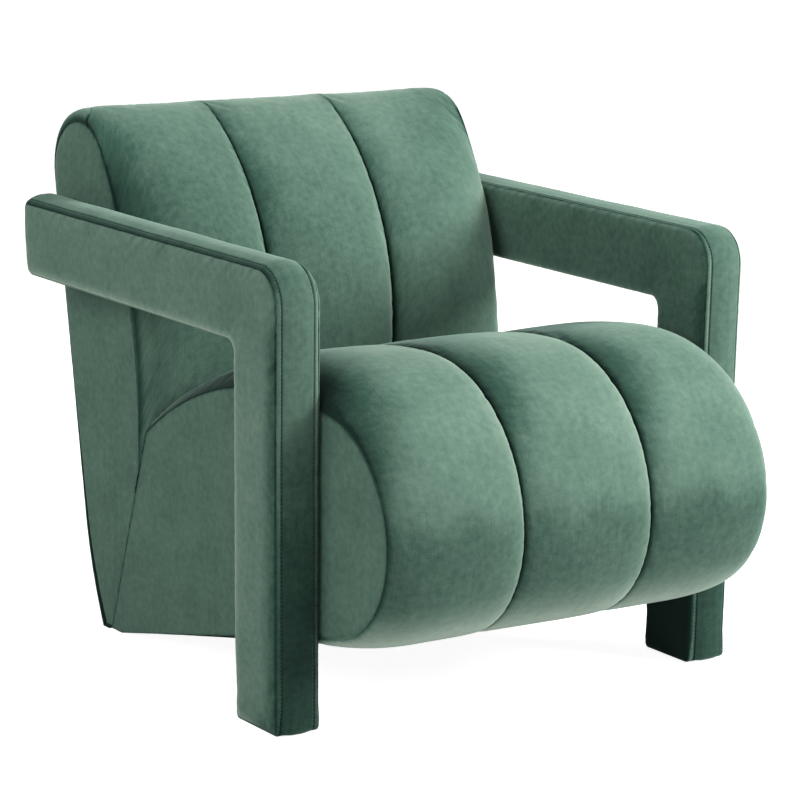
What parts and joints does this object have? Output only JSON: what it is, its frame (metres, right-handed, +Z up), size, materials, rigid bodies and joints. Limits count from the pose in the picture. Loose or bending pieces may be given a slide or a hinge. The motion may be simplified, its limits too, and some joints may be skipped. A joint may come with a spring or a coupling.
{
  "type": "lounge armchair",
  "caption": "Low velvet lounge chair: level L-shaped padded arms that run to the floor as front posts, a channelled seat roll and a channelled wedge back between them.",
  "frame": {"origin": "centre of the overall box on the floor", "axes": "+X to the viewer's right seen from the front, the front faces -Y, +Z up"},
  "size_m": [0.698, 0.8438, 0.6941],
  "materials": {
    "velvet": "short-pile velvet with a brushed nap",
    "foam": "upholstery foam",
    "timber": "sawn softwood",
    "plywood": "plywood sheet",
    "webbing": "woven elastic webbing",
    "dust_cloth": "non-woven cloth",
    "steel": "zinc-plated",
    "glide": "moulded nylon"
  },
  "bodies": {
    "root": {"arm_bolts_left": "steel", "arm_bolts_right": "steel", "arm_boxing_left": "velvet", "arm_boxing_right": "velvet", "arm_dowels_left": "timber", "arm_dowels_right": "timber", "arm_foam_left": "foam", "arm_foam_right": "foam", "arm_inner_panel_left": "velvet", "arm_inner_panel_right": "velvet", "arm_inserts_left": "steel", "arm_inserts_right": "steel", "arm_outer_panel_left": "velvet", "arm_outer_panel_right": "velvet", "arm_post_left": "timber", "arm_post_right": "timber", "arm_rail_left": "timber", "arm_rail_right": "timber", "back_cover": "velvet", "back_foam": "foam", "back_gable_left": "plywood", "back_gable_right": "plywood", "back_lower_board": "timber", "back_side_panel_left": "velvet", "back_side_panel_right": "velvet", "back_top_rail": "timber", "back_webbing": "webbing", "joint_bolts": "steel", "joint_nuts": "steel", "outside_back": "velvet", "post_glide_left": "glide", "post_glide_right": "glide", "rear_glides": "glide", "seat_cover": "velvet", "seat_cross_rail": "timber", "seat_dust_cover": "dust_cloth", "seat_foam": "foam", "seat_front_board": "timber", "seat_gable_left": "plywood", "seat_gable_right": "plywood", "seat_rear_board": "timber", "seat_side_panel_left": "velvet", "seat_side_panel_right": "velvet", "seat_webbing": "webbing"}
  },
  "joints": []
}
